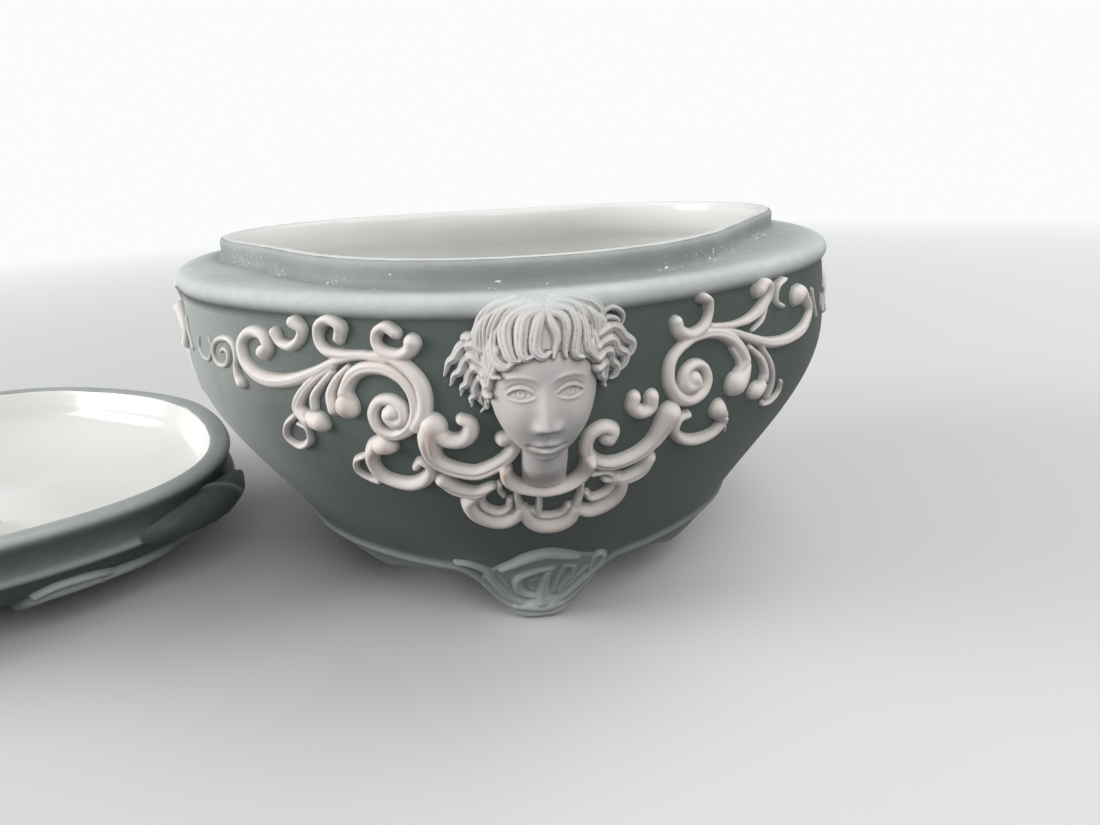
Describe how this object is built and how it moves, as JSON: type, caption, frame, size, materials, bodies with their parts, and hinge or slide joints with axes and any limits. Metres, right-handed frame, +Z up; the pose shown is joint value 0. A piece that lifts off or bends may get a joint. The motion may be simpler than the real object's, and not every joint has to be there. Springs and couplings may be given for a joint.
{
  "type": "hair receiver",
  "caption": "Three-cornered footed bisque bowl with mask and scroll relief, beside its loose domed lid with a central hair hole.",
  "frame": {"origin": "on the table, under the middle of the box that holds the bowl and the lid beside it", "axes": "+Z up from the table, +X from the lid to the bowl, -Y the way the front mask faces"},
  "size_m": [0.2314, 0.1396, 0.06],
  "materials": {
    "sage_bisque": "unglazed sage-green bisque, matte",
    "white_relief": "unglazed chalky white relief with a pinkish tint in its recesses"
  },
  "bodies": {
    "bowl": {"bowl_body": "sage_bisque", "mask_front": "white_relief", "ruff_front": "white_relief", "garland_left_front": "white_relief", "garland_right_front": "white_relief", "foot_shell_front": "white_relief", "mask_right": "white_relief", "ruff_right": "white_relief", "garland_left_right": "white_relief", "garland_right_right": "white_relief", "foot_shell_right": "white_relief", "mask_left": "white_relief", "ruff_left": "white_relief", "garland_left_left": "white_relief", "garland_right_left": "white_relief", "foot_shell_left": "white_relief"},
    "lid": {"lid_shell": "sage_bisque", "lid_scrolls_1": "white_relief", "lid_scrolls_2": "white_relief", "lid_scrolls_3": "white_relief"}
  },
  "joints": [
    {"name": "lid_lift", "type": "slide", "parent": "bowl", "child": "lid", "axis": [-0.5, 0.035, 0.8653], "range_m": [0, 0.15]}
  ]
}
